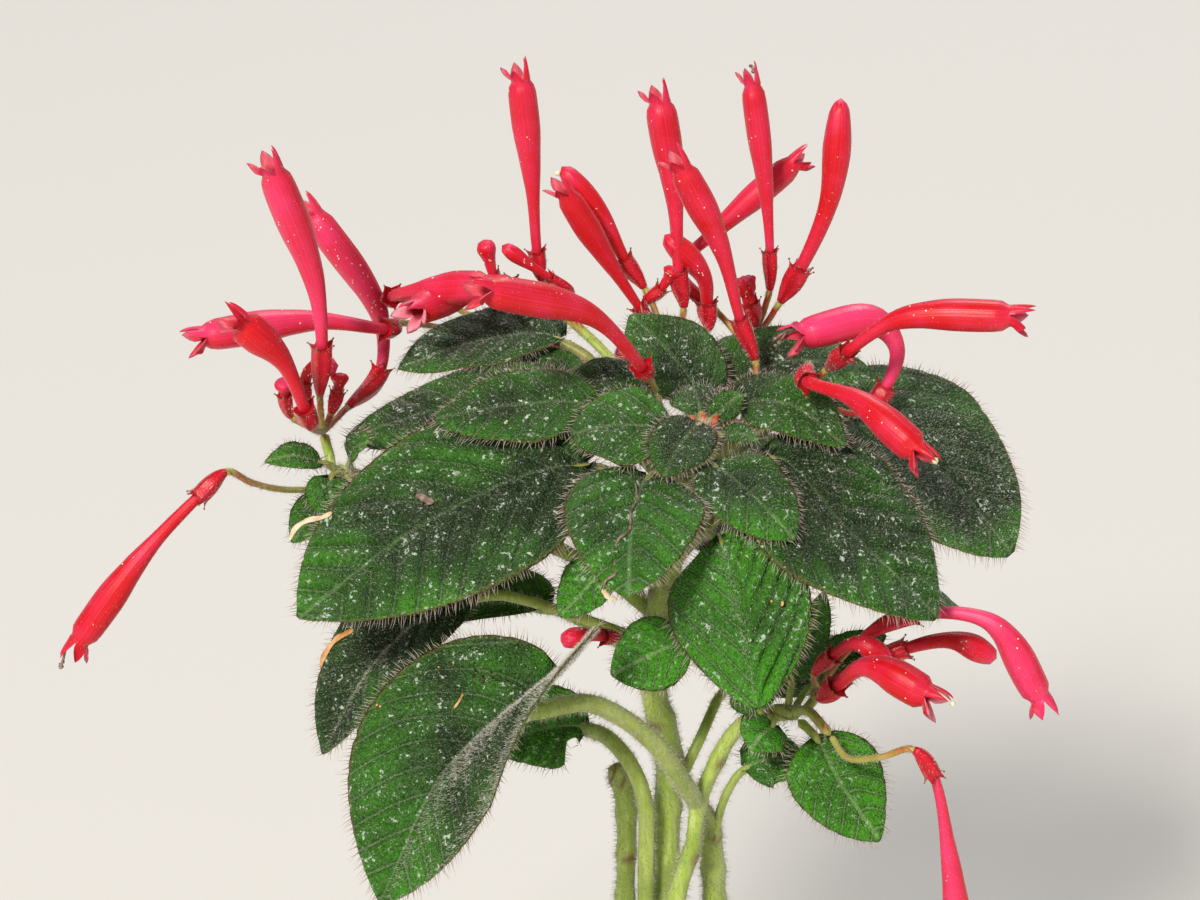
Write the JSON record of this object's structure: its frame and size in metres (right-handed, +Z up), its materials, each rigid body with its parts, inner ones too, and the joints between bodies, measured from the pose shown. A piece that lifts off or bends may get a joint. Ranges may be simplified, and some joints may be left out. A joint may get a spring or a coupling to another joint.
{
  "type": "potted sinningia lineata",
  "caption": "Hairy green leaf rosette on short stems with slender red tubular flowers, in a plain round nursery pot.",
  "frame": {"origin": "middle of the pot's base, on the surface that it stands on", "axes": "+Z up; the show side faces -Y, and +X is to the viewer's right"},
  "size_m": [0.1975, 0.1531, 0.3141],
  "materials": {
    "leaf": "hairy, quilted",
    "stem": "soft, finely hairy",
    "flower": "satin, waxy",
    "tuber": "rough, corky",
    "soil": "matte, crumbly",
    "pot": "matte moulded"
  },
  "bodies": {
    "root": {"pot": "pot", "soil": "soil", "tuber": "tuber", "stem_main": "stem", "stem_second": "stem", "stem_stub": "stem", "shoot_right": "stem", "shoot_left": "stem", "crown": "leaf", "leaf_front_left_large": "leaf", "leaf_low_left_large": "leaf", "leaf_left_behind": "leaf", "leaf_upper_left": "leaf", "leaf_upper_left_short": "leaf", "leaf_upper_left_inner": "leaf", "leaf_upper_left_rear": "leaf", "leaf_front_centre": "leaf", "leaf_front_right_small": "leaf", "leaf_crown_left": "leaf", "leaf_crown_right": "leaf", "leaf_crown_rear": "leaf", "leaf_crown_rear_left": "leaf", "leaf_rear_right_upper": "leaf", "leaf_right_large": "leaf", "leaf_far_right": "leaf", "leaf_front_quilted": "leaf", "leaf_front_round": "leaf", "leaf_front_folded_small": "leaf", "leaf_low_right": "leaf", "leaf_low_middle_right": "leaf", "leaf_low_left_bitten": "leaf", "leaf_low_rear_right": "leaf", "leaf_rear_1": "leaf", "leaf_rear_2": "leaf", "leaf_rear_3": "leaf", "leaf_rear_4": "leaf", "leaf_rear_5": "leaf", "leaf_rear_6": "leaf", "leaf_rear_7": "leaf", "flowers_left_shoot": "flower", "flower_left_drooping": "flower", "flowers_upper_left": "flower", "flowers_upper_middle": "flower", "flower_front_arching": "flower", "flowers_rear_centre": "flower", "flower_crown_tall": "flower", "flowers_rear_right": "flower", "flowers_right_arching": "flower", "flowers_low_right": "flower", "flower_low_right_hanging": "flower", "bud_front": "flower", "flowers_rear_left_low": "flower", "flowers_rear_right_low": "flower"}
  },
  "joints": []
}
